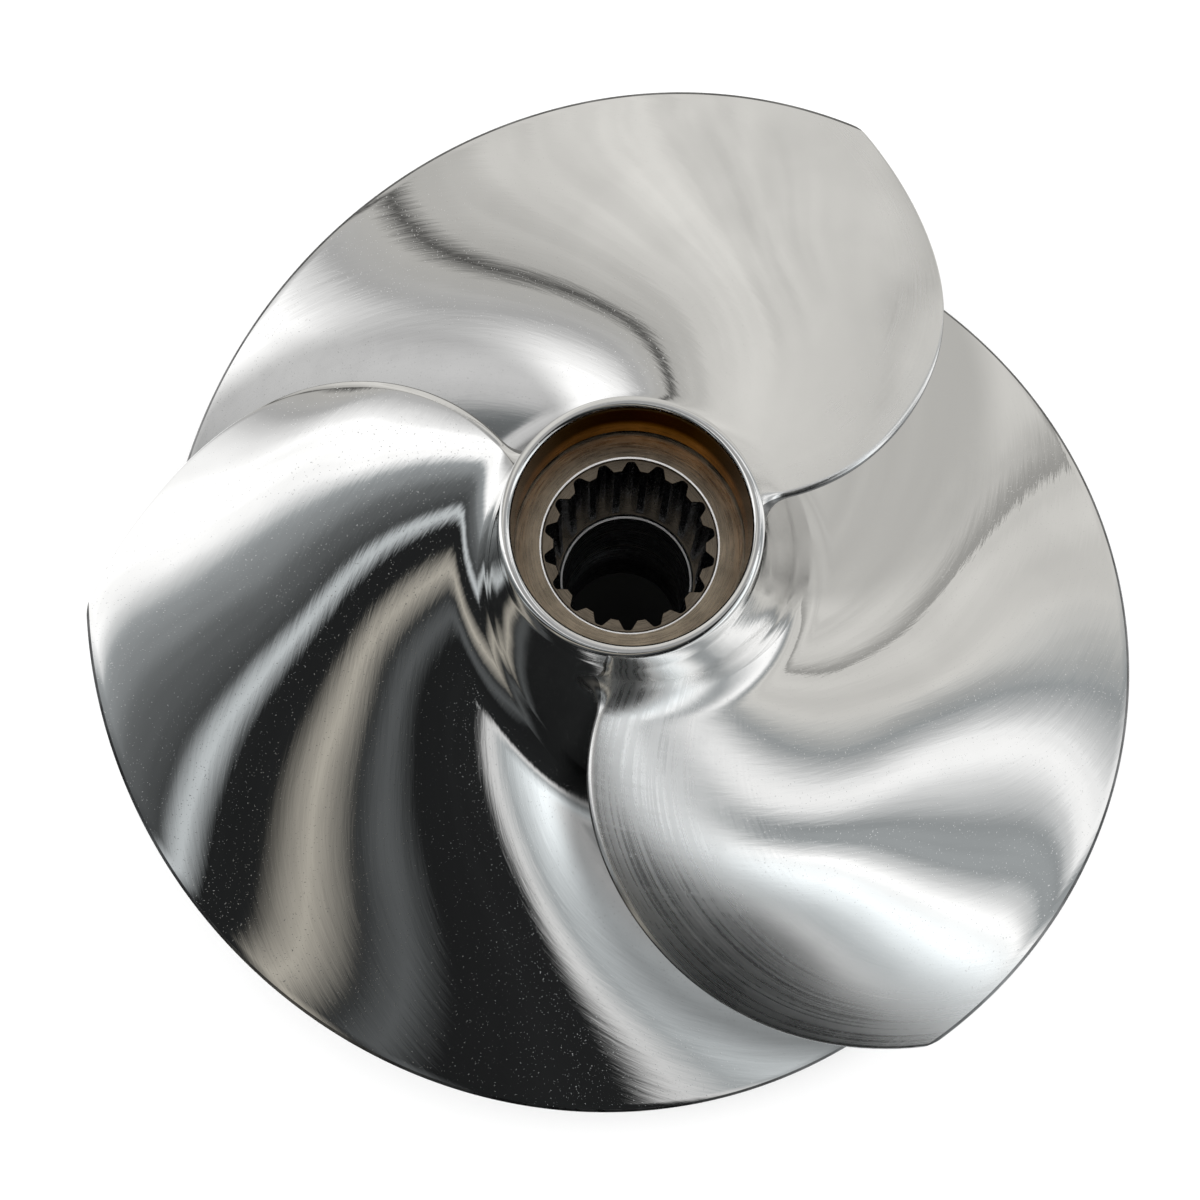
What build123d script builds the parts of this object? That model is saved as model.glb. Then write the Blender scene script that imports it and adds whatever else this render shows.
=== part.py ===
from build123d import *
import math
import os

# Three-blade pump impeller: hub, blades and spline in one casting, machined and polished.
# The origin is the middle of the hub's rear face, and +Z points to the inlet.
# Sizes are in millimetres and angles in degrees. Seen from the inlet, each blade
# runs counter-clockwise and backwards from its leading edge.

# Blades
blade_count = 3
outer_radius = 77.6
tip_thickness = 2.3
root_thickness = 4.6
edge_thickness = 1.3
edge_taper = 16.0
edge_round = 0.5
root_fillet = 3.0

# Front face of a blade: depth below the rim, as a share of the hub's height, is a
# polynomial of the angle behind the tip corner in radians, one along the hub and one
# along the outer edge. Near the leading edge the face stays with the hub line first
# and then rolls over to the tip line; further back it goes over more evenly and is
# a little crowned.
hub_line = (0.269, 0.185, 0.078)
tip_line = (0.425, 0.099, 0.181, -0.052)
rake_start_radius = 20.0
front_steepness = 8.0
rear_steepness = 1.7
steepness_fade = 2.8
crown_height = 3.3
crown_start = 0.3
crown_end = 1.9

# Leading and trailing edges in plan: share of the way from the rake's start to the
# outer edge, and angle behind the tip corner
leading_edge = (
    (-0.017, -42.5),
    (0.122, -44.2),
    (0.313, -39.7),
    (0.556, -28.8),
    (0.799, -15.5),
    (0.92, -6.8),
    (1.042, 3.2),
)
trailing_edge = ((-0.017, 101.0), (0.434, 107.0), (0.764, 116.0), (1.042, 124.0))

# Hub
hub_height = 96.0
rim_radius = 16.45
rim_round = 0.65
neck_radius = 17.0
neck_depth = 8.0
flare_radius = 43.0
flare_sag = 4.0
rear_land = 2.0

# Hollow rear of the hub, with its boss
skirt_wall = 5.0
boss_radius = 16.0
boss_recess = 8.0
cavity_depth = 46.0
cavity_radius_round = 3.0

# Front counterbore with its relief, and the splined socket
counterbore_radius = 15.0
counterbore_depth = 13.6
relief_depth = 0.6
relief_height = 1.2
recess_radius = 11.75
recess_depth = 0.4
spline_teeth = 18
spline_major_radius = 11.1
spline_minor_radius = 9.85
spline_land_share = 0.3
spline_groove_share = 0.24
groove_round = 0.5
groove_overlap = 1.0
spline_turn = 5.4
spline_length = 27.0

# Threaded bore, modelled at its minor diameter
thread_minor_radius = 9.19
thread_lead_in = 0.5

# Stations of the blade blank, which reaches past its trimmed outline
blank_first_angle = -52.0
blank_last_angle = 128.0
blank_sections = 14
blank_stations = (-0.14, 0.104, 0.313, 0.486, 0.625, 0.764, 0.885, 1.076)


def height(depth):
    """Height above the rear face of a point that deep below the rim."""
    return hub_height - depth


def polar(radius, angle):
    return (radius * math.cos(math.radians(angle)), radius * math.sin(math.radians(angle)))


def station_radius(station):
    """Radius at a share of the way from the rake's start to the outer edge."""
    return rake_start_radius + (outer_radius - rake_start_radius) * station


def front_height(station, angle):
    """Height of a blade's front face at a station and an angle behind its tip corner."""
    turn = math.radians(angle)
    span = min(max(station, 0.0), 1.0)
    fade = math.exp(-steepness_fade * max(turn, 0.0) ** 2)
    steepness = rear_steepness + (front_steepness - rear_steepness) * fade
    share = (1 - (1 - span) ** 2) ** steepness
    along_hub = sum(c * turn**power for power, c in enumerate(hub_line))
    along_tip = sum(c * turn**power for power, c in enumerate(tip_line))
    rise = min(max((turn - crown_start) / (crown_end - crown_start), 0.0), 1.0)
    crown = crown_height * rise**2 * (3 - 2 * rise) * math.sin(math.pi * span)
    return height(hub_height * (along_hub * (1 - share) + along_tip * share)) + crown


def edge_angle(edge, station):
    """Angle of a leading or trailing edge at a station."""
    for (inner, start), (outer, end) in zip(edge, edge[1:]):
        if station <= outer:
            break
    return start + (end - start) * (station - inner) / (outer - inner)


def thickness(station, angle):
    """Thickness along Z: it grows towards the hub and tapers to both edges."""
    full = tip_thickness + (root_thickness - tip_thickness) * max(1 - station, 0.0) ** 1.5
    inside = min(angle - edge_angle(leading_edge, station), edge_angle(trailing_edge, station) - angle)
    share = min(max(station_radius(station) * math.radians(inside) / edge_taper, 0.0), 1.0)
    return edge_thickness + (full - edge_thickness) * math.sin(share * math.pi / 2)


def plan_points(edge):
    """Points of a leading or trailing edge in plan."""
    return [polar(station_radius(station), angle) for station, angle in edge]


def section_plane(angle):
    """Half plane through the axis: local X is the radius and local Y the height."""
    across = (math.sin(math.radians(angle)), -math.cos(math.radians(angle)), 0)
    return Plane(origin=(0, 0, 0), x_dir=(*polar(1, angle), 0), z_dir=across)


with BuildPart() as blade:
    # Blank: a loft through sections that fan out round the axis
    for step in range(blank_sections):
        turned = (blank_last_angle - blank_first_angle) * step / (blank_sections - 1)
        angle = blank_first_angle + turned
        front = [(station_radius(station), front_height(station, angle)) for station in blank_stations]
        back = [(radius, z - thickness(station, angle)) for station, (radius, z) in zip(blank_stations, front)]
        with BuildSketch(section_plane(angle)):
            with BuildLine():
                Spline(front)
                Line(front[-1], back[-1])
                Spline(back)
                Line(back[0], front[0])
            make_face()
    loft()
    # Plan outline between the leading and trailing edges
    with BuildSketch():
        with BuildLine():
            leading, trailing = plan_points(leading_edge), plan_points(trailing_edge)
            Spline(leading)
            RadiusArc(leading[-1], trailing[-1], -math.hypot(*leading[-1]))
            Spline(trailing)
            Line(trailing[0], leading[0])
        make_face()
    extrude(amount=hub_height, mode=Mode.INTERSECT)
    # Rounded leading edge, then the machined outer edge
    leading_wall = blade.faces().filter_by(GeomType.EXTRUSION).sort_by(Axis.Z)[-1]
    fillet(leading_wall.edges().filter_by(GeomType.BSPLINE), edge_round)
    with BuildSketch():
        Circle(outer_radius)
    extrude(amount=hub_height, mode=Mode.INTERSECT)

# One groove of the spline, with a rounded bottom, that opens into the socket's bore
tooth_pitch = 360 / spline_teeth
half_mouth = tooth_pitch * (1 - spline_land_share) / 2
half_bottom = tooth_pitch * spline_groove_share / 2
groove_start_radius = spline_minor_radius - groove_overlap
with BuildSketch() as groove:
    with BuildLine():
        Polyline(
            polar(spline_major_radius, -half_bottom),
            polar(spline_minor_radius, -half_mouth),
            polar(groove_start_radius, -half_mouth),
            polar(groove_start_radius, half_mouth),
            polar(spline_minor_radius, half_mouth),
            polar(spline_major_radius, half_bottom),
        )
        Line(polar(spline_major_radius, half_bottom), polar(spline_major_radius, -half_bottom))
    make_face()
    bottom_corners = groove.vertices().filter_by(lambda v: v.X > spline_minor_radius)
    fillet(bottom_corners, groove_round)

with BuildPart() as impeller:
    # Hub: lip, neck and flared skirt, solid until the bores are cut
    with BuildSketch(Plane.XZ):
        with BuildLine():
            Line((0, 0), (flare_radius, 0))
            Line((flare_radius, 0), (flare_radius, rear_land))
            SagittaArc((flare_radius, rear_land), (neck_radius, height(neck_depth)), flare_sag)
            Line((neck_radius, height(neck_depth)), (rim_radius, hub_height))
            Line((rim_radius, hub_height), (0, hub_height))
            Line((0, hub_height), (0, 0))
        make_face()
    revolve(axis=Axis.Z)
    with PolarLocations(0, blade_count):
        add(blade.part)
    # Fillets along the front and back root of each blade
    roots = impeller.faces().filter_by(GeomType.TORUS).edges().filter_by(GeomType.BSPLINE)
    fillet(roots.filter_by(lambda edge: edge.length > 2 * root_thickness), root_fillet)

    # Hollow rear: the cavity's outer wall follows the flare
    cavity_top = height(cavity_depth)
    boss_end = boss_recess
    with BuildSketch(Plane.XZ):
        with BuildLine():
            mouth = (flare_radius - skirt_wall, 0)
            crown = (boss_radius + cavity_radius_round, cavity_top)
            Line((0, 0), mouth)
            SagittaArc(mouth, crown, flare_sag)
            Line(crown, (boss_radius, cavity_top))
            Line((boss_radius, cavity_top), (boss_radius, boss_end))
            Line((boss_radius, boss_end), (0, boss_end))
            Line((0, boss_end), (0, 0))
        make_face()
    revolve(axis=Axis.Z, mode=Mode.SUBTRACT)

    # Front counterbore, undercut round its floor
    floor = height(counterbore_depth)
    with BuildSketch(Plane.XY.offset(hub_height)):
        Circle(counterbore_radius)
    extrude(amount=-counterbore_depth, mode=Mode.SUBTRACT)
    with BuildSketch(Plane.XY.offset(floor)):
        Circle(counterbore_radius + relief_depth)
    extrude(amount=relief_height, mode=Mode.SUBTRACT)
    lip = impeller.edges().group_by(Axis.Z)[-1]
    fillet(lip, rim_round)

    # Shallow recess, splined socket and threaded bore
    with BuildSketch(Plane.XY.offset(floor)):
        Circle(recess_radius)
    extrude(amount=-recess_depth, mode=Mode.SUBTRACT, taper=45)
    socket_top = floor - recess_depth
    with BuildSketch(Plane.XY.offset(socket_top)):
        Circle(spline_minor_radius)
        with PolarLocations(0, spline_teeth, start_angle=spline_turn):
            add(groove.sketch)
    extrude(amount=-spline_length, mode=Mode.SUBTRACT)
    thread_top = socket_top - spline_length
    with BuildSketch(Plane.XY.offset(thread_top)):
        Circle(thread_minor_radius)
    extrude(amount=boss_end - thread_top, mode=Mode.SUBTRACT)
    circles = impeller.edges().filter_by(GeomType.CIRCLE)
    thread_mouths = circles.filter_by(lambda edge: math.isclose(edge.radius, thread_minor_radius))
    chamfer(thread_mouths, thread_lead_in)

impeller.part.label = "impeller"
os.makedirs("parts", exist_ok=True)
export_step(impeller.part, "parts/impeller.step")
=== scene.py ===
"""Looks of the pump impeller: a fine mesh of the casting, its polish, the light and the camera.

Forms are worked out in millimetres and turned into metres when the meshes are made.
"""

import math

import bpy
import numpy as np
from mathutils import Matrix, Vector


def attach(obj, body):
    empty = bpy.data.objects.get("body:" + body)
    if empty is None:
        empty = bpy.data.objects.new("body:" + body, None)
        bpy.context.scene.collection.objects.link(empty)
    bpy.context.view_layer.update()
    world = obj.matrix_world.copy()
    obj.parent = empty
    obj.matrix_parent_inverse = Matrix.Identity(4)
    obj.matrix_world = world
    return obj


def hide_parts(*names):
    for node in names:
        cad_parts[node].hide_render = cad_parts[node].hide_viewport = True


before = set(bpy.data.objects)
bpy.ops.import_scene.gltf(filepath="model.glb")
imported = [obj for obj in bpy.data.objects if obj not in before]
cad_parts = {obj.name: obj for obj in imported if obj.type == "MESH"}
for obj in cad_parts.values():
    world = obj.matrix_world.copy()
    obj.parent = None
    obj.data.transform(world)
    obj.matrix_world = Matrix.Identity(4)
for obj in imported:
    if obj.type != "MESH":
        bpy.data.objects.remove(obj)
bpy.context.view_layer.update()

MM = 0.001

# ---------------------------------------------------------------------------
# Sizes of the casting in millimetres, degrees and shares, as in the CAD source. The root
# fillet is larger here than in the solid, and the rounds of the tip corner and the outer
# edge and the spline's chamfer are only here.
# ---------------------------------------------------------------------------
BLADES = 3
OUTER_R = 77.6
TIP_THICK = 2.3
ROOT_THICK = 4.6
EDGE_THICK = 1.3
EDGE_TAPER = 16.0
ROOT_FILLET = 4.0
OUTER_ROUND = 0.5
# Depth of a blade's front face below the rim, as a share of the hub's height: polynomials
# of the angle behind the tip corner in radians, along the hub and along the outer edge
HUB_LINE = (0.269, 0.185, 0.078)
TIP_LINE = (0.425, 0.099, 0.181, -0.052)
# How the face goes over from the one line to the other, and its crown between them
RAKE_START_R = 20.0
FRONT_STEEPNESS = 8.0
REAR_STEEPNESS = 1.7
STEEPNESS_FADE = 2.8
CROWN_HEIGHT = 3.3
CROWN_START = 0.3
CROWN_END = 1.9
# Edges in plan: share of the way from the rake's start to the outer edge, and angle
# behind the tip corner
LEADING_EDGE = (
    (-0.017, -42.5),
    (0.122, -44.2),
    (0.313, -39.7),
    (0.556, -28.8),
    (0.799, -15.5),
    (0.92, -6.8),
    (1.042, 3.2),
)
TRAILING_EDGE = ((-0.017, 101.0), (0.434, 107.0), (0.764, 116.0), (1.042, 124.0))
CORNER_ROUND = 6.0

HUB_H = 96.0
RIM_R = 16.45
RIM_ROUND = 0.65
NECK_R = 17.0
NECK_DEPTH = 8.0
FLARE_R = 43.0
FLARE_SAG = 4.0
REAR_LAND = 2.0
SKIRT_WALL = 5.0
BOSS_R = 16.0
BOSS_RECESS = 8.0
CAVITY_DEPTH = 46.0
CAVITY_ROUND = 3.0

BORE_R = 15.0
BORE_DEPTH = 13.6
RELIEF_R = 15.6
RELIEF_HEIGHT = 1.2
RECESS_R = 11.75
RECESS_DEPTH = 0.4
TEETH = 18
MAJOR_R = 11.1
MINOR_R = 9.85
LAND_SHARE = 0.3
GROOVE_SHARE = 0.24
GROOVE_ROUND = 0.5
SPLINE_TURN = 5.4
SPLINE_LENGTH = 27.0
SPLINE_CHAMFER = 0.12
THREAD_R = 9.19
THREAD_LEAD = 0.5


# ---------------------------------------------------------------------------
# Form of the blades and the hub
# ---------------------------------------------------------------------------
def edge_curve(points, degree):
    """Angle in radians of an edge as a smooth function of the radius."""
    stations, angles = np.array(points).T
    radii = RAKE_START_R + (OUTER_R - RAKE_START_R) * stations
    return np.poly1d(np.polyfit(radii, np.radians(angles), degree))


leading_line = edge_curve(LEADING_EDGE, degree=5)
trailing_angle = edge_curve(TRAILING_EDGE, degree=3)


# How far before the tip corner the leading edge's direction is taken
CORNER_STEP = 2.0


def rounded_corner():
    """Radius where the tip corner's arc starts, and how far round the outer edge its centre lies."""
    corner = float(leading_line(OUTER_R))
    before = float(leading_line(OUTER_R - CORNER_STEP))
    lean = math.atan(OUTER_R * (corner - before) / CORNER_STEP)
    turn = math.pi / 2 - lean
    reach = CORNER_ROUND * math.tan(turn / 2)
    return OUTER_R - reach * math.cos(lean), OUTER_R * corner + reach


CORNER_START_R, CORNER_CENTRE_S = rounded_corner()


def leading_angle(radius):
    """Leading edge, with the tip corner rounded in plan."""
    rise = np.clip(radius - OUTER_R + CORNER_ROUND, 0, CORNER_ROUND)
    arc = (CORNER_CENTRE_S - np.sqrt(CORNER_ROUND**2 - rise**2)) / OUTER_R
    return np.where(radius > CORNER_START_R, arc, leading_line(radius))


def front_height(radius, turn):
    """Height of a blade's front face at a radius and an angle behind its tip corner."""
    span = np.clip((radius - RAKE_START_R) / (OUTER_R - RAKE_START_R), 0, 1)
    fade = np.exp(-STEEPNESS_FADE * np.maximum(turn, 0) ** 2)
    steepness = REAR_STEEPNESS + (FRONT_STEEPNESS - REAR_STEEPNESS) * fade
    share = (1 - (1 - span) ** 2) ** steepness
    along_hub = sum(c * turn**power for power, c in enumerate(HUB_LINE))
    along_tip = sum(c * turn**power for power, c in enumerate(TIP_LINE))
    rise = np.clip((turn - CROWN_START) / (CROWN_END - CROWN_START), 0, 1)
    crown = CROWN_HEIGHT * rise**2 * (3 - 2 * rise) * np.sin(math.pi * span)
    return HUB_H * (1 - along_hub * (1 - share) - along_tip * share) + crown


def blade_thickness(radius, turn):
    """Thickness along Z: it grows towards the hub and tapers to both edges."""
    span = np.clip((OUTER_R - radius) / (OUTER_R - RAKE_START_R), 0, None)
    full = TIP_THICK + (ROOT_THICK - TIP_THICK) * span**1.5
    inside = np.minimum(turn - leading_angle(radius), trailing_angle(radius) - turn)
    share = np.clip(radius * inside / EDGE_TAPER, 0, 1)
    return EDGE_THICK + (full - EDGE_THICK) * np.sin(share * math.pi / 2)


def flare_circle():
    """Centre and radius of the arc that the hub's flare follows, in the (radius, height) plane."""
    low, high = np.array([FLARE_R, REAR_LAND]), np.array([NECK_R, HUB_H - NECK_DEPTH])
    chord = high - low
    length = np.hypot(*chord)
    arc_radius = (length**2 / 4 + FLARE_SAG**2) / (2 * FLARE_SAG)
    outward = np.array([chord[1], -chord[0]]) / length
    return (low + high) / 2 + outward * (arc_radius - FLARE_SAG), arc_radius


FLARE_CENTRE, FLARE_ARC_R = flare_circle()


def hub_radius(height):
    """Outer radius of the hub: a curved flare with a conical neck above it."""
    flare = FLARE_CENTRE[0] - np.sqrt(FLARE_ARC_R**2 - (height - FLARE_CENTRE[1]) ** 2)
    neck_start = HUB_H - NECK_DEPTH
    neck = NECK_R + (RIM_R - NECK_R) * (height - neck_start) / NECK_DEPTH
    return np.where(height > neck_start, neck, flare)


# Mesh of a blade: steps along each face, round each edge, along the span, across the
# root fillet and across the outer edge's round
CHORD_STEPS, NOSE_STEPS = 150, 9
SPAN_STEPS, FILLET_STEPS, ROUND_STEPS = 64, 9, 4
# A blade's first two loops: how deep they lie in the hub, and how far past the fillet
ROOT_LOOPS = ((1.5, 0.4), (0.03, 0.25))
# Where a loop's search for the hub's surface starts, and how often it halves its error
ROOT_GUESS_R = 24.0
ROOT_TRIES = 30
SLOPE_STEP = 1e-3


def blade_loops():
    """Closed loops from inside the hub to the outer edge, and their angles behind the leading edge.

    Each loop runs along the front face from the trailing to the leading edge, round the
    nose, back along the rear face and round the trailing edge.
    """
    # Half even and half crowded towards both edges
    even = np.linspace(0, 1, CHORD_STEPS)
    chord = 0.5 * even + 0.5 * (1 - np.cos(math.pi * even)) / 2
    front = chord[::-1]
    nose_turns = np.linspace(0, math.pi, NOSE_STEPS + 2)[1:-1]
    share = np.concatenate([front, np.zeros(NOSE_STEPS), front[::-1], np.ones(NOSE_STEPS)])
    front_side, rear_side = np.zeros(CHORD_STEPS), np.full(CHORD_STEPS, math.pi)
    side = np.concatenate([front_side, nose_turns, rear_side, math.pi + nose_turns])

    def place(radius, grow):
        """Point of the loop at a radius, grown outwards by so much in the unrolled section."""
        inset = EDGE_THICK / 2 / radius
        first, last = leading_angle(radius) + inset, trailing_angle(radius) - inset
        turn = first + share * (last - first)
        z = front_height(radius, turn)
        slope = (front_height(radius, turn + SLOPE_STEP) - z) / (SLOPE_STEP * radius)
        size = np.sqrt(1 + slope**2)
        along = (1 / size, slope / size)
        up = (-slope / size, 1 / size)
        half = blade_thickness(radius, turn) / size / 2
        reach = half + grow
        shift_s = -up[0] * half + reach * (np.cos(side) * up[0] - np.sin(side) * along[0])
        shift_z = -up[1] * half + reach * (np.cos(side) * up[1] - np.sin(side) * along[1])
        return turn + shift_s / radius, z + shift_z

    def from_hub(gap, grow):
        """Loop that keeps a distance from the hub's surface."""
        radius = np.full(share.shape, ROOT_GUESS_R)
        for _ in range(ROOT_TRIES):
            turn, z = place(radius, grow)
            radius = 0.5 * radius + 0.5 * (hub_radius(z) + gap)
        return radius, turn, z

    loops = [from_hub(-depth, ROOT_FILLET + spread) for depth, spread in ROOT_LOOPS]
    for step in range(FILLET_STEPS + 1):
        bend = math.pi / 2 * (1 - step / FILLET_STEPS)
        gap, grow = ROOT_FILLET * (1 - math.sin(bend)), ROOT_FILLET * (1 - math.cos(bend))
        loops.append(from_hub(gap, grow))
    inner = loops[-1][0]
    outer = OUTER_R - OUTER_ROUND
    for step in range(1, SPAN_STEPS + 1):
        radius = inner + (outer - inner) * step / SPAN_STEPS
        loops.append((radius, *place(radius, 0.0)))
    for step in range(1, ROUND_STEPS + 1):
        bend = math.pi / 2 * step / ROUND_STEPS
        radius = np.full(share.shape, outer + OUTER_ROUND * math.sin(bend))
        loops.append((radius, *place(radius, -OUTER_ROUND * (1 - math.cos(bend)))))
    behind = [turn - leading_angle(radius) for radius, turn, _ in loops]
    return [np.stack([r * np.cos(t), r * np.sin(t), z], axis=-1) for r, t, z in loops], behind


# Columns of the socket's mesh: steps along half a groove's bottom and round its corner,
# shares of the way up the flank, and shares of the way over half the land
BOTTOM_STEPS, CORNER_STEPS = 2, 4
FLANK_SHARES = (0.35, 0.7, 0.93)
LAND_SHARES = (0.06, 0.36)


def spline_outline():
    """Column angles and socket radii all the way round, from one groove's rounded outline."""
    pitch = 2 * math.pi / TEETH
    half_mouth, half_bottom = pitch * (1 - LAND_SHARE) / 2, pitch * GROOVE_SHARE / 2
    mouth = MINOR_R * np.array([math.cos(half_mouth), math.sin(half_mouth)])
    corner = MAJOR_R * np.array([math.cos(half_bottom), math.sin(half_bottom)])
    flank = (mouth - corner) / np.hypot(*(mouth - corner))
    down = np.array([0.0, -1.0])
    half_bend = math.acos(float(flank @ down)) / 2
    reach = GROOVE_ROUND / math.tan(half_bend)
    bisector = (flank + down) / np.hypot(*(flank + down))
    centre = corner + bisector * GROOVE_ROUND / math.sin(half_bend)
    first, last = corner + down * reach - centre, corner + flank * reach - centre
    start, end = math.atan2(first[1], first[0]), math.atan2(last[1], last[0])
    bottom = np.linspace(0, corner[1] - reach, BOTTOM_STEPS + 1)[:-1]
    points = [np.array([corner[0], y]) for y in bottom]
    for bend in np.linspace(start, end, CORNER_STEPS + 1):
        points.append(centre + GROOVE_ROUND * np.array([math.cos(bend), math.sin(bend)]))
    flank_start = corner + flank * reach
    points += [flank_start + (mouth - flank_start) * share for share in FLANK_SHARES]
    half = [(math.atan2(y, x), math.hypot(x, y)) for x, y in points]
    half += [(half_mouth + (pitch / 2 - half_mouth) * share, MINOR_R) for share in LAND_SHARES]
    groove = [(-a, r) for a, r in half[:0:-1]] + half + [(pitch / 2, MINOR_R)]
    first_turn = math.radians(SPLINE_TURN)
    angles = [first_turn + tooth * pitch + angle for tooth in range(TEETH) for angle, _ in groove]
    return np.array(angles), np.array([radius for _, radius in groove] * TEETH)


# Mesh of the hub: steps along each stretch of its profile
FLARE_STEPS, NECK_STEPS, LIP_STEPS = 80, 8, 6
WALL_STEPS, SEAT_STEPS, SPLINE_STEPS, THREAD_STEPS = 6, 4, 8, 23
CAVITY_STEPS, CAVITY_ROUND_STEPS = 24, 4
# Direction in degrees at which the rim's outer round starts
LIP_START = 10.0


def hub_grid():
    """Rows of the hub's closed profile, turned round the axis, and the finish that starts at each.

    The profile runs up the outside, over the rim, down through the bore and back along the
    hollow rear.
    """
    columns, socket = spline_outline()
    rows, finishes = [], []

    def ring(radius, height, finish="polished_steel"):
        rows.append((np.broadcast_to(radius, columns.shape), np.full(columns.shape, height)))
        finishes.append(finish)

    def corner(centre_r, centre_z, radius, first, last, steps, finish="polished_steel"):
        """Round from one direction to another, in degrees."""
        for step in range(steps + 1):
            bend = math.radians(first + (last - first) * step / steps)
            ring(centre_r + radius * math.cos(bend), centre_z + radius * math.sin(bend), finish)

    # Outside, from the rear rim to the front one
    ring(FLARE_R, 0.0)
    ring(FLARE_R, REAR_LAND)
    for step in range(1, FLARE_STEPS + 1):
        z = REAR_LAND + (HUB_H - NECK_DEPTH - REAR_LAND) * step / FLARE_STEPS
        ring(float(hub_radius(z)), z)
    for step in range(1, NECK_STEPS + 1):
        z = HUB_H - NECK_DEPTH + (NECK_DEPTH - RIM_ROUND) * step / NECK_STEPS
        ring(float(hub_radius(z)), z)
    lip = HUB_H - RIM_ROUND
    corner(RIM_R - RIM_ROUND, lip, RIM_ROUND, LIP_START, 90, LIP_STEPS)
    corner(BORE_R + RIM_ROUND, lip, RIM_ROUND, 90, 180, LIP_STEPS)

    # Counterbore with its relief and the recess round the spline
    seat = HUB_H - BORE_DEPTH
    wall_end = seat + RELIEF_HEIGHT
    for step in range(WALL_STEPS + 1):
        ring(BORE_R, lip + (wall_end - lip) * step / WALL_STEPS, "bore_wall")
    ring(BORE_R, wall_end, "undercut")
    ring(RELIEF_R, wall_end, "undercut")
    for step in range(SEAT_STEPS):
        ring(RELIEF_R + (RECESS_R - RELIEF_R) * step / SEAT_STEPS, seat, "turned_face")
    # Painted highlight: the recess's edge is painted as a light line
    ring(RECESS_R, seat, "painted_highlight_edge")
    ring(RECESS_R - RECESS_DEPTH / 2, seat - RECESS_DEPTH / 2, "turned_face")
    spline_top = seat - RECESS_DEPTH
    ring(RECESS_R - RECESS_DEPTH, spline_top, "turned_face")

    # Splined socket, whose last ring starts the shelf under the teeth
    ring(socket + SPLINE_CHAMFER, spline_top, "spline_flanks")
    for step in range(SPLINE_STEPS + 1):
        drop = SPLINE_CHAMFER + (SPLINE_LENGTH - SPLINE_CHAMFER) * step / SPLINE_STEPS
        ring(socket, spline_top - drop, "spline_flanks")
    finishes[-1] = "turned_face"

    # Threaded bore
    shelf = spline_top - SPLINE_LENGTH
    thread_top, thread_end = shelf - THREAD_LEAD, BOSS_RECESS + THREAD_LEAD
    ring(THREAD_R + THREAD_LEAD, shelf, "lower_bore")
    # Painted highlight on the thread's chamfer
    ring(THREAD_R + THREAD_LEAD / 2, shelf - THREAD_LEAD / 2, "painted_highlight_edge")
    for step in range(THREAD_STEPS + 1):
        ring(THREAD_R, thread_top + (thread_end - thread_top) * step / THREAD_STEPS, "lower_bore")

    # Hollow rear: the boss, and back along the skirt, whose last ring starts the rear rim
    cavity_top = HUB_H - CAVITY_DEPTH
    ring(THREAD_R + THREAD_LEAD, BOSS_RECESS, "cavity_skin")
    ring(BOSS_R, BOSS_RECESS, "cavity_skin")
    ring(BOSS_R, cavity_top - CAVITY_ROUND, "cavity_skin")
    inner_end = BOSS_R + CAVITY_ROUND
    corner(
        inner_end, cavity_top - CAVITY_ROUND, CAVITY_ROUND, 180, 90, CAVITY_ROUND_STEPS, "cavity_skin"
    )
    skirt_r = FLARE_R - SKIRT_WALL
    for step in range(1, CAVITY_STEPS + 1):
        along = 1 - step / CAVITY_STEPS
        straight = skirt_r + (inner_end - skirt_r) * along
        ring(straight - FLARE_SAG * 4 * along * (1 - along), cavity_top * along, "cavity_skin")
    finishes[-1] = "polished_steel"

    radius = np.array([r for r, _ in rows])
    height = np.array([z for _, z in rows])
    points = np.stack([radius * np.cos(columns), radius * np.sin(columns), height], axis=-1)
    return points, finishes


# ---------------------------------------------------------------------------
# Meshes
# ---------------------------------------------------------------------------
def mesh_object(name, points, faces, sharp_degrees):
    """Smooth-shaded object from points in millimetres, with edges sharp above an angle."""
    mesh = bpy.data.meshes.new(name)
    mesh.from_pydata((points * MM).tolist(), [], faces)
    mesh.validate()
    mesh.shade_smooth()
    mesh.set_sharp_from_angle(angle=math.radians(sharp_degrees))
    made = bpy.data.objects.new(name, mesh)
    bpy.context.scene.collection.objects.link(made)
    return made


def grid_faces(rows, columns, closed_rows):
    """Quads between neighbouring rows of a grid whose columns close on themselves."""
    faces = []
    last = rows if closed_rows else rows - 1
    for row in range(last):
        lower, upper = row * columns, (row + 1) % rows * columns
        for column in range(columns):
            after = (column + 1) % columns
            faces.append((lower + column, lower + after, upper + after, upper + column))
    return faces


def cap_faces(start, count, flip):
    """Strip that closes a loop whose first and middle points lie on its two ends."""
    half = count // 2
    faces = [(0, 1, count - 1), (half - 1, half, half + 1)]
    faces += [(k, k + 1, count - k - 1, count - k) for k in range(1, half - 1)]
    faces = [tuple(start + index for index in face) for face in faces]
    return [face[::-1] for face in faces] if flip else faces


STEEL_SLOT, EDGE_SLOT, BACK_SLOT = 0, 1, 2


def blade_slots(loop_count, point_count, cap_count):
    """Material slot of each face: the quads loop by loop, then the inner and the outer cap."""
    row, column = np.divmod(np.arange(point_count * (loop_count - 1)), point_count)
    outer_round = row >= loop_count - 1 - ROUND_STEPS
    nose = np.abs(column - CHORD_STEPS - NOSE_STEPS / 2) < NOSE_STEPS / 3
    back = np.abs(column - 1.5 * CHORD_STEPS - NOSE_STEPS) < CHORD_STEPS / 2
    quads = np.where(outer_round | nose, EDGE_SLOT, np.where(back, BACK_SLOT, STEEL_SLOT))
    return np.concatenate([quads, np.full(cap_count, STEEL_SLOT), np.full(cap_count, EDGE_SLOT)])


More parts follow.
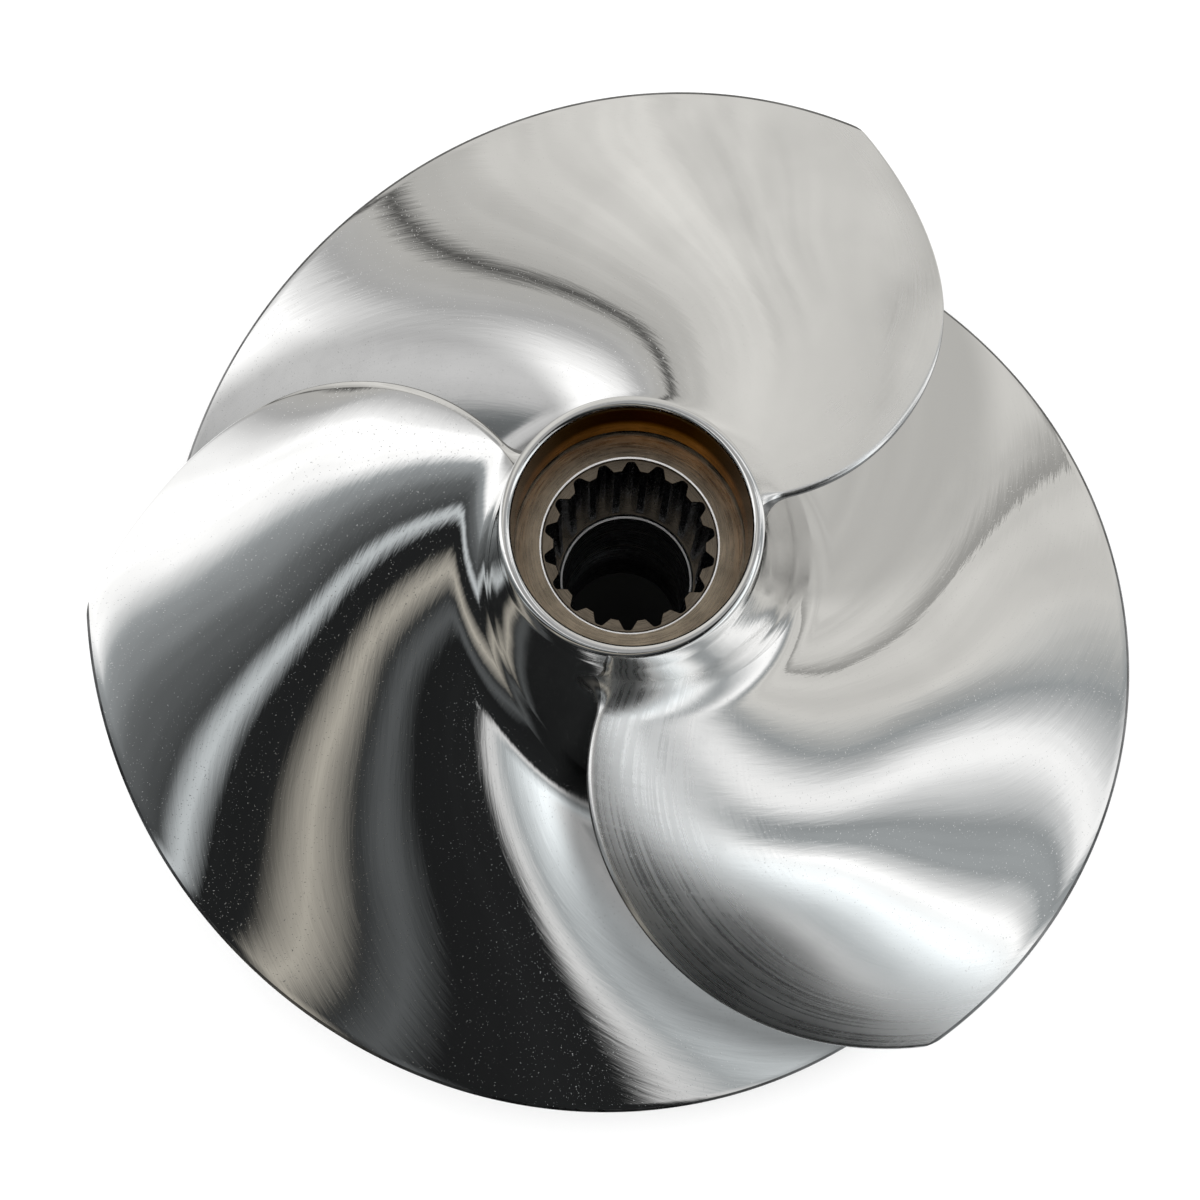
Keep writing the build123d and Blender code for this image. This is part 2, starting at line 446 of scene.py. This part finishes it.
def build_blade(number, loops, behind):
    """One blade, which keeps how far behind its leading edge each point lies, in radians."""
    turn = 2 * math.pi * number / BLADES
    east, north = math.cos(turn), math.sin(turn)
    turned = np.array([[east, north, 0], [-north, east, 0], [0, 0, 1]])
    count = len(loops[0])
    points = np.concatenate(loops) @ turned
    inner_cap = cap_faces(0, count, flip=False)
    outer_cap = cap_faces(count * (len(loops) - 1), count, flip=True)
    faces = grid_faces(len(loops), count, closed_rows=False) + inner_cap + outer_cap
    blade = mesh_object(f"blade_{number + 1}", points, faces, sharp_degrees=50)
    slots = blade_slots(len(loops), count, len(inner_cap))
    blade.data.polygons.foreach_set("material_index", slots)
    kept = blade.data.attributes.new("behind_edge", "FLOAT", "POINT")
    kept.data.foreach_set("value", np.concatenate(behind))
    return blade


loops, behind = blade_loops()
blades = [build_blade(number, loops, behind) for number in range(BLADES)]
grid, hub_finishes = hub_grid()
hub_faces = grid_faces(*grid.shape[:2], closed_rows=True)
hub = mesh_object("hub", grid.reshape(-1, 3), hub_faces, sharp_degrees=28)
pieces = [hub, *blades]
for piece in pieces:
    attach(piece, "root")
    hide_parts("impeller")

# The floor's side in metres, and the shade pad's radius and height in millimetres
FLOOR_SIZE = 6.0
SHADE_PAD_R = BOSS_R - 1
SHADE_PAD_LIFT = 0.3

bpy.ops.mesh.primitive_plane_add(size=FLOOR_SIZE)
floor = bpy.context.object
floor.name = "floor"
floor.visible_glossy = False

# Black disc on the floor under the bore, painted shade that keeps the bore dark when looked through
bpy.ops.mesh.primitive_circle_add(
    vertices=64, radius=SHADE_PAD_R * MM, fill_type="NGON", location=(0, 0, SHADE_PAD_LIFT * MM)
)
shade_pad = bpy.context.object
shade_pad.name = "shade_pad"


# ---------------------------------------------------------------------------
# Node helpers
# ---------------------------------------------------------------------------
class Nodes:
    """Short calls that add nodes to one tree and give back their output socket.

    A value that is a socket is linked, and a number or colour is set on the input itself.
    """

    def __init__(self, tree):
        self.tree = tree

    def add(self, kind, **values):
        node = self.tree.nodes.new(kind)
        for name, value in values.items():
            setattr(node, name, value)
        return node

    def feed(self, socket, value):
        if isinstance(value, bpy.types.NodeSocket):
            self.tree.links.new(value, socket)
        else:
            socket.default_value = value

    def math(self, operation, *values):
        node = self.add("ShaderNodeMath", operation=operation)
        for socket, value in zip(node.inputs, values):
            self.feed(socket, value)
        return node.outputs[0]

    def hypot(self, x, y):
        squares = self.math("ADD", self.math("MULTIPLY", x, x), self.math("MULTIPLY", y, y))
        return self.math("SQRT", squares)

    def smooth(self, value, low, high, out_low=0.0, out_high=1.0):
        """Smooth step from one output to another while the value goes from low to high."""
        node = self.add("ShaderNodeMapRange", interpolation_type="SMOOTHSTEP")
        names = ("Value", "From Min", "From Max", "To Min", "To Max")
        for name, given in zip(names, (value, low, high, out_low, out_high)):
            self.feed(node.inputs[name], given)
        return node.outputs["Result"]

    def mix(self, factor, first, second, blend_type="MIX"):
        node = self.add("ShaderNodeMix", data_type="RGBA", blend_type=blend_type)
        for name, value in (("Factor", factor), ("A", first), ("B", second)):
            self.feed(node.inputs[name], value)
        return node.outputs["Result"]

    def noise(self, vector, scale, detail=2.0, roughness=0.5):
        node = self.add("ShaderNodeTexNoise")
        self.feed(node.inputs["Vector"], vector)
        self.feed(node.inputs["Scale"], scale)
        self.feed(node.inputs["Detail"], detail)
        self.feed(node.inputs["Roughness"], roughness)
        return node.outputs[0]

    def vector(self, x, y, z):
        node = self.add("ShaderNodeCombineXYZ")
        for socket, value in zip(node.inputs, (x, y, z)):
            self.feed(socket, value)
        return node.outputs[0]

    def split(self, vector):
        node = self.add("ShaderNodeSeparateXYZ")
        self.feed(node.inputs[0], vector)
        return node.outputs

    def ramp(self, value, stops):
        node = self.add("ShaderNodeValToRGB")
        self.feed(node.inputs["Fac"], value)
        elements = node.color_ramp.elements
        while len(elements) < len(stops):
            elements.new(1.0)
        for element, (place, colour) in zip(elements, stops):
            element.position = place
            element.color = (*colour, 1)
        return node.outputs["Color"]

    def bump(self, height, distance, normal=None):
        node = self.add("ShaderNodeBump")
        self.feed(node.inputs["Height"], height)
        self.feed(node.inputs["Distance"], distance)
        self.feed(node.inputs["Strength"], 1.0)
        if normal is not None:
            self.feed(node.inputs["Normal"], normal)
        return node.outputs["Normal"]


def material(name):
    """New material with its tree's helper and its principled shader."""
    made = bpy.data.materials.new(name)
    made.use_nodes = True
    return made, Nodes(made.node_tree), made.node_tree.nodes["Principled BSDF"]


def round_axis(nodes):
    """Place of the shaded point, and its radius, angle and height about the shaft axis."""
    place = nodes.add("ShaderNodeTexCoord").outputs["Object"]
    x, y, z = nodes.split(place)
    return place, nodes.hypot(x, y), nodes.math("ARCTAN2", y, x), z


# ---------------------------------------------------------------------------
# Materials
# ---------------------------------------------------------------------------
# Polished steel: base tones, and texture scales per metre
POLISH_TONES = ((0.84, 0.838, 0.83, 1), (0.9, 0.898, 0.89, 1))
# Painted shade: the tone of a blade's pocket under the next blade
POCKET_SHADE_TONE = (0.86, 0.858, 0.85)
CLOUD_SCALE = 45.0
HAZE_SCALE = 120.0
WAVE_SCALE = 38.0
PIT_SCALE = 3800.0
LINES_ACROSS, LINES_ALONG = 900.0, 5.0
# Scales of machined steel's patina, of the mottle in the painted highlight on its edges and of the
# stage's mottle
PATINA_SCALE = 240.0
HIGHLIGHT_MOTTLE_SCALE = 300.0
MOTTLE_SCALE = 6.0
# Depths of its bumps in metres
BLADE_WAVES = 0.00011
HUB_WAVES = 0.0005
LINE_DEPTH = 0.000012
PIT_DEPTH = 0.00001
TOOL_MARK_DEPTH = 0.000008
# Satin along a leading edge: where it starts to fade and where it ends, in millimetres
SATIN_FADE, SATIN_END = 10.0, 30.0
SATIN_STRAY = 3.0
# Its strokes: scale across them per millimetre and along them per metre
STROKES_ACROSS, STROKES_ALONG = 2.2, 18.0
# A pocket's border: how far before and behind its angle it starts and ends, in radians
POCKET_BEFORE, POCKET_BEHIND = 0.05, 0.12

EDGE_GREY = (0.22, 0.22, 0.22)
BACK_GREY = (0.5, 0.5, 0.49)
GREY = (0.035, 0.03, 0.026)
# Painted reflection: the tan face mirrored in the lower part of the bore wall
BRONZE_REFLECTION = (0.75, 0.4, 0.14)
DARK_BRONZE_REFLECTION = (0.14, 0.07, 0.03)
TAN_STEEL = (0.52, 0.43, 0.32)
DARK_TAN = (0.24, 0.2, 0.155)
OILED = (0.6, 0.61, 0.62)
DARK_STEEL = (0.095, 0.107, 0.122)
# BLACK paints shade in the undercut groove and deep in the bore, and draws the dark line under the
# rim
BLACK = (0.03, 0.031, 0.032)
RING_GREY = (0.2, 0.2, 0.195)
LIGHT_RING = (0.85, 0.83, 0.8)
FILM_TINT = (0.42, 0.34, 0.27)
FLOOR_WHITE = (0.92, 0.92, 0.92)
# Painted shade: the disc under the bore
SHADE_PAD_BLACK = (0.01, 0.01, 0.01)


def axis_lines(nodes, radius, angle, height, across, along):
    """Noise drawn out into lines that run round the shaft axis, with no seam."""
    across = nodes.math("MULTIPLY", nodes.math("ADD", radius, height), across)
    east = nodes.math("MULTIPLY", nodes.math("COSINE", angle), along)
    north = nodes.math("MULTIPLY", nodes.math("SINE", angle), along)
    return nodes.noise(nodes.vector(across, east, north), 1.0, 4.0, 0.6)


def ground_edge(nodes, behind, radius, height, satin):
    """Extra roughness of the strip ground along a leading edge, with strokes that follow it."""
    inside = nodes.math("MULTIPLY", nodes.math("MULTIPLY", behind, radius), 1 / MM)
    across = nodes.math("MULTIPLY", inside, STROKES_ACROSS)
    along = nodes.math("MULTIPLY", radius, STROKES_ALONG)
    strokes = nodes.noise(nodes.vector(across, along, height), 1.0, 3.0, 0.6)
    highlight_mottle = nodes.math("ADD", inside, nodes.smooth(strokes, 0.3, 0.7, -SATIN_STRAY, SATIN_STRAY))
    share = nodes.smooth(highlight_mottle, SATIN_FADE, SATIN_END, 1.0, 0.0)
    brushed = nodes.smooth(strokes, 0.3, 0.7, satin * 0.75, satin * 1.2)
    return nodes.math("MULTIPLY", share, brushed)


def polished_steel(name, waviness, edge_satin=0.0, pocket_start=None, pocket_shade=1.0):
    """Hand-polished casting: mirror with soft waviness, polishing lines and pits.

    The strip along a leading edge may be ground to a satin, and the pocket under the next blade, from
    an angle in radians behind the leading edge, is hard to reach and stays rougher; its colour is
    darkened there as painted shade from the next blade.
    """
    made, nodes, shader = material(name)
    place, radius, angle, height = round_axis(nodes)
    shader.inputs["Metallic"].default_value = 1.0

    cloud = nodes.noise(place, CLOUD_SCALE, 3.0, 0.55)
    tone = nodes.mix(nodes.smooth(cloud, 0.35, 0.65), *POLISH_TONES)
    lines = axis_lines(nodes, radius, angle, height, LINES_ACROSS, LINES_ALONG)
    haze = nodes.noise(place, HAZE_SCALE, 4.0, 0.6)
    hazed = nodes.smooth(haze, 0.45, 0.75, 0.012, 0.045)
    rough = nodes.math("ADD", hazed, nodes.smooth(lines, 0.5, 0.72, 0.0, 0.03))
    if edge_satin or pocket_start:
        behind = nodes.add("ShaderNodeAttribute", attribute_name="behind_edge").outputs["Fac"]
    if edge_satin:
        satin = ground_edge(nodes, behind, radius, height, edge_satin)
        rough = nodes.math("ADD", rough, satin)
    if pocket_start:
        first, last = pocket_start - POCKET_BEFORE, pocket_start + POCKET_BEHIND
        # Painted shade: the pocket under the next blade is coloured darker
        depth = nodes.smooth(behind, first, last)
        pocket_shade_colour = (*(pocket_shade * c for c in POCKET_SHADE_TONE), 1)
        tone = nodes.mix(depth, tone, pocket_shade_colour)
        dulled = nodes.math("MULTIPLY", depth, nodes.smooth(haze, 0.3, 0.7, 0.08, 0.16))
        rough = nodes.math("ADD", rough, dulled)
    nodes.feed(shader.inputs["Base Color"], tone)
    nodes.feed(shader.inputs["Roughness"], rough)

    wavy = nodes.bump(nodes.noise(place, WAVE_SCALE, 1.0, 0.4), waviness)
    lined = nodes.bump(lines, LINE_DEPTH, normal=wavy)
    pits = nodes.smooth(nodes.noise(place, PIT_SCALE, 1.0), 0.70, 0.80)
    nodes.feed(shader.inputs["Normal"], nodes.bump(pits, PIT_DEPTH, normal=lined))
    return made


def machined(name, tones, roughness, across=2600.0, along=2.0, grazing=(1.0, 1.0, 1.0)):
    """Turned or rough steel, with its tones by depth in millimetres below the rim."""
    made, nodes, shader = material(name)
    place, radius, angle, height = round_axis(nodes)
    shader.inputs["Metallic"].default_value = 1.0
    shader.inputs["Specular Tint"].default_value = (*grazing, 1)
    depth = nodes.math("SUBTRACT", 1.0, nodes.math("DIVIDE", height, HUB_H * MM))
    tone = nodes.ramp(depth, [(at / HUB_H, colour) for at, colour in tones])
    lines = axis_lines(nodes, radius, angle, height, across, along)
    patina = nodes.noise(place, PATINA_SCALE, 3.0, 0.6)
    lined, aged = nodes.smooth(lines, 0.3, 0.7, 0.78, 1.2), nodes.smooth(patina, 0.3, 0.7, 0.8, 1.15)
    shade = nodes.math("MULTIPLY", lined, aged)
    nodes.feed(shader.inputs["Base Color"], nodes.mix(1.0, tone, shade, blend_type="MULTIPLY"))
    rough = nodes.smooth(lines, 0.3, 0.7, roughness * 0.75, roughness * 1.25)
    nodes.feed(shader.inputs["Roughness"], rough)
    nodes.feed(shader.inputs["Normal"], nodes.bump(lines, TOOL_MARK_DEPTH))
    return made


def even(tone):
    """Tones for a surface that has the same one at every depth."""
    return ((0, tone), (HUB_H, tone))


def painted_highlight_edge():
    """Narrow edge painted near white as a highlight, so that it reads as one light line from every
    side.
    """
    made, nodes, shader = material("painted_highlight_edge")
    place, *_ = round_axis(nodes)
    highlight_mottle = nodes.smooth(nodes.noise(place, HIGHLIGHT_MOTTLE_SCALE, 2.0), 0.3, 0.7)
    tone = nodes.mix(highlight_mottle, (0.88, 0.87, 0.86, 1), (0.96, 0.955, 0.95, 1))
    nodes.feed(shader.inputs["Base Color"], tone)
    nodes.feed(shader.inputs["Roughness"], nodes.smooth(highlight_mottle, 0.0, 1.0, 0.25, 0.4))
    return made


def plain(name, colour, roughness):
    """Matt stage surface with a faint mottle."""
    made, nodes, shader = material(name)
    place = nodes.add("ShaderNodeTexCoord").outputs["Object"]
    mottle = nodes.noise(place, MOTTLE_SCALE, 3.0)
    lighter = tuple(min(1.0, c * 1.02) for c in colour)
    nodes.feed(shader.inputs["Base Color"], nodes.mix(mottle, (*colour, 1), (*lighter, 1)))
    shader.inputs["Roughness"].default_value = roughness
    return made


# Tones down the machined bores, by depth in millimetres below the rim
WALL_TONES = (
    (0, GREY),
    (1.0, BLACK),
    (1.3, RING_GREY),
    (1.7, GREY),
    (6.9, GREY),
    # Painted reflection of the tan face, from here down the wall
    (7.3, DARK_BRONZE_REFLECTION),
    (9.5, BRONZE_REFLECTION),
    (12.4, BRONZE_REFLECTION),
)
FACE_TONES = ((0, TAN_STEEL), (13.7, TAN_STEEL), (13.9, DARK_TAN), (HUB_H, DARK_TAN))
LOWER_TONES = (
    (41, OILED),
    (48.5, OILED),
    (50, LIGHT_RING),
    (51, OILED),
    (61, OILED),
    (62, LIGHT_RING),
    (64, OILED),
    # Painted shade: darker deep in the bore
    (76, BLACK),
)
skins = {
    "polished_steel": polished_steel("polished_steel", HUB_WAVES),
    "bore_wall": machined("bore_wall", WALL_TONES, 0.07, grazing=FILM_TINT),
    # Painted shade: the undercut groove is painted black
    "undercut": machined("undercut", even(BLACK), 0.4),
    "turned_face": machined("turned_face", FACE_TONES, 0.3, across=5200.0, along=4.0),
    "spline_flanks": machined("spline_flanks", even(DARK_STEEL), 0.24, across=900.0, along=60.0),
    "lower_bore": machined("lower_bore", LOWER_TONES, 0.3),
    "painted_highlight_edge": painted_highlight_edge(),
    "edge_skin": machined("edge_skin", even(EDGE_GREY), 0.3, across=700.0, along=12.0),
    "back_skin": machined("back_skin", even(BACK_GREY), 0.32, across=700.0, along=9.0),
    "cavity_skin": machined("cavity_skin", even(BACK_GREY), 0.42, across=500.0, along=12.0),
}
for skin in skins.values():
    hub.data.materials.append(skin)
row_slots = [list(skins).index(finish) for finish in hub_finishes]
hub.data.polygons.foreach_set("material_index", np.repeat(row_slots, grid.shape[1]))

# Each blade's satin at its leading edge, where its pocket starts, and how light the pocket's painted
# shade tone is
BLADE_POLISH_AND_SHADE = ((0.22, 1.5, 0.5), (0.0, 1.92, 0.3), (0.28, 1.65, 0.8))
for blade, (edge_satin, pocket_start, pocket_shade) in zip(blades, BLADE_POLISH_AND_SHADE):
    steel = polished_steel(
        f"{blade.name}_steel", BLADE_WAVES, edge_satin, pocket_start, pocket_shade
    )
    for skin in (steel, skins["edge_skin"], skins["back_skin"]):
        blade.data.materials.append(skin)
floor.data.materials.append(plain("floor_white", FLOOR_WHITE, 0.85))
shade_pad.data.materials.append(plain("shade_pad_black", SHADE_PAD_BLACK, 0.9))

# ---------------------------------------------------------------------------
# Studio: a tent of light and dark panels all round the object
# ---------------------------------------------------------------------------
WARM = (1.0, 0.985, 0.945)
TAN = (1.0, 0.94, 0.82)
COOL = (0.92, 0.975, 1.0)
WHITE = (1.0, 1.0, 1.0)
# Compass direction in degrees, brightness and tint, at PANEL_RISE degrees from the zenith
PANELS = (
    (1, 0.30, WARM),
    (5, 0.55, WARM),
    (44, 0.56, WARM),
    (56, 0.66, WARM),
    (68, 0.57, WARM),
    (86, 0.42, WARM),
    (88.5, 0.06, WARM),
    (91.5, 0.44, WARM),
    (98, 0.38, WHITE),
    (107, 1.02, WHITE),
    (119, 1.02, WHITE),
    (127, 0.32, COOL),
    (141, 0.12, COOL),
    (157, 0.05, COOL),
    (164, 0.55, COOL),
    (171, 0.014, COOL),
    (184, 0.014, COOL),
    (197, 0.38, TAN),
    (210, 0.03, COOL),
    (219, 0.09, COOL),
    (228, 0.012, COOL),
    (251, 0.015, COOL),
    (255.5, 0.65, WHITE),
    (260, 0.35, COOL),
    (267, 0.72, COOL),
    (274, 1.04, COOL),
    (284, 1.0, WHITE),
    (295, 0.34, COOL),
    (304, 0.30, COOL),
    (317, 0.95, WHITE),
    (333, 0.28, COOL),
    (347, 0.56, WARM),
)
# How far each panel's edge leans sideways as it rises, by the same compass
PANEL_LEANS = (
    (0, 0.29),
    (60, 0.36),
    (92, 0.3),
    (107, 0.12),
    (122, 0.2),
    (140, 0.34),
    (165, 0.46),
    (198, 0.6),
    (225, 0.4),
    (250, 0.3),
    (268, 0.36),
    (288, 0.44),
    (303, 0.24),
    (317, 0.02),
    (334, 0.48),
    (348, 0.35),
)
PANEL_RISE = 60.0
# Brightness overhead, and where it fades in, in degrees from the zenith
OVERHEAD = 0.30
OVERHEAD_EDGE = (22.0, 10.0)
TENT_GAIN = 1.18
FOLDS_ROUND, FOLDS_UP = 60.0, 3.0

# Radius and centre height in metres
TENT_R = 0.35
TENT_Z = 0.036
# Distance from the axis within which the panels' sideways shift is held back
ZENITH_R = TENT_R / 4


def compass_of(nodes, east, north, up):
    """Share of a full turn at which each point of the tent shows the panels.

    The panels lean, each its own way, so their edges pass beside the zenith.
    """
    level = nodes.hypot(east, north)
    around = nodes.math("DIVIDE", nodes.math("ARCTAN2", north, east), 2 * math.pi)
    bearing = nodes.math("FRACT", nodes.math("ADD", around, 1.0))
    lean = nodes.ramp(bearing, [(at / 360, (lean, lean, lean)) for at, lean in PANEL_LEANS])
    rise = nodes.math("DIVIDE", up, nodes.math("MAXIMUM", level, ZENITH_R))
    rise = nodes.math("SUBTRACT", rise, 1 / math.tan(math.radians(PANEL_RISE)))
    shift = nodes.math("DIVIDE", nodes.math("MULTIPLY", lean, rise), 2 * math.pi)
    return nodes.math("FRACT", nodes.math("ADD", nodes.math("SUBTRACT", bearing, shift), 1.0))


def tent_cloth():
    """Glowing cloth with the panels, soft folds and a dimmer patch overhead."""
    made = bpy.data.materials.new("tent_cloth")
    made.use_nodes = True
    made.node_tree.nodes.clear()
    nodes = Nodes(made.node_tree)
    east, north, up = nodes.split(nodes.add("ShaderNodeTexCoord").outputs["Object"])
    turned = compass_of(nodes, east, north, up)
    brightest = max(light for _, light, _ in PANELS)
    stops = [(at / 360, tuple(light / brightest * c for c in tint)) for at, light, tint in PANELS]
    panels = nodes.ramp(turned, stops)
    across, along = nodes.math("MULTIPLY", turned, FOLDS_ROUND), nodes.math("MULTIPLY", up, FOLDS_UP)
    weave = nodes.noise(nodes.vector(across, along, 0.0), 1.0, 2.0)
    folds = nodes.smooth(weave, 0.25, 0.75, 0.92, 1.08)
    folded = nodes.mix(1.0, panels, folds, blend_type="MULTIPLY")
    height = nodes.math("DIVIDE", up, TENT_R)
    overhead = nodes.smooth(height, *(math.cos(math.radians(angle)) for angle in OVERHEAD_EDGE))
    dim = OVERHEAD / brightest
    glow = nodes.add("ShaderNodeEmission")
    nodes.feed(glow.inputs["Color"], nodes.mix(overhead, folded, (dim, dim, dim, 1)))
    glow.inputs["Strength"].default_value = brightest * TENT_GAIN
    out = nodes.add("ShaderNodeOutputMaterial")
    nodes.feed(out.inputs["Surface"], glow.outputs[0])
    made.cycles.emission_sampling = "NONE"
    return made


# The tent is seen only in the polish: the camera and the floor see past it
bpy.ops.mesh.primitive_uv_sphere_add(
    segments=64, ring_count=32, radius=TENT_R, location=(0, 0, TENT_Z)
)
tent = bpy.context.object
tent.name = "tent"
tent.data.shade_smooth()
tent.visible_camera = tent.visible_diffuse = tent.visible_shadow = False
tent.data.materials.append(tent_cloth())

world = bpy.data.worlds.new("studio")
bpy.context.scene.world = world
world.use_nodes = True
backdrop = world.node_tree.nodes["Background"]
backdrop.inputs["Color"].default_value = (1.0, 1.0, 1.0, 1)
backdrop.inputs["Strength"].default_value = 1.0

# Soft light for the floor, which the polish doesn't mirror
LAMP_POWER = 1.4
LAMP_SPREAD = 80.0
lamp_data = bpy.data.lights.new("floor_light", "SUN")
lamp_data.energy = LAMP_POWER
lamp_data.angle = math.radians(LAMP_SPREAD)
lamp = bpy.data.objects.new("floor_light", lamp_data)
lamp.visible_glossy = False
bpy.context.scene.collection.objects.link(lamp)
bpy.context.scene.view_settings.view_transform = "Standard"

# ---------------------------------------------------------------------------
# Camera: the rim's middle as seen from it, in millimetres, and its angles in degrees
# ---------------------------------------------------------------------------
CAMERA_OFFSET = (3.916, 4.410, -240.818)
CAMERA_TILT = -10.288
CAMERA_ROLL = -1.333
CAMERA_TURN = 64.612
CAMERA_LENS = 58.59
CAMERA_SENSOR = 36.0
CAMERA_SHIFT = -0.0333
CAMERA_REACH = 20.0

camera_data = bpy.data.cameras.new("camera")
camera_data.sensor_width = CAMERA_SENSOR
camera_data.lens = CAMERA_LENS
camera_data.shift_y = CAMERA_SHIFT
camera_data.clip_end = CAMERA_REACH
camera = bpy.data.objects.new("camera", camera_data)
bpy.context.scene.collection.objects.link(camera)
bpy.context.scene.camera = camera
roll = Matrix.Rotation(math.radians(CAMERA_ROLL), 4, "Z")
tilt = Matrix.Rotation(math.radians(CAMERA_TILT), 4, "X")
turn = Matrix.Rotation(math.radians(-CAMERA_TURN), 4, "Z")
rim_middle = Matrix.Translation((0, 0, HUB_H * MM))
stand_off = Matrix.Translation(-Vector(CAMERA_OFFSET) * MM)
camera.matrix_world = rim_middle @ turn @ (roll @ tilt).transposed() @ stand_off
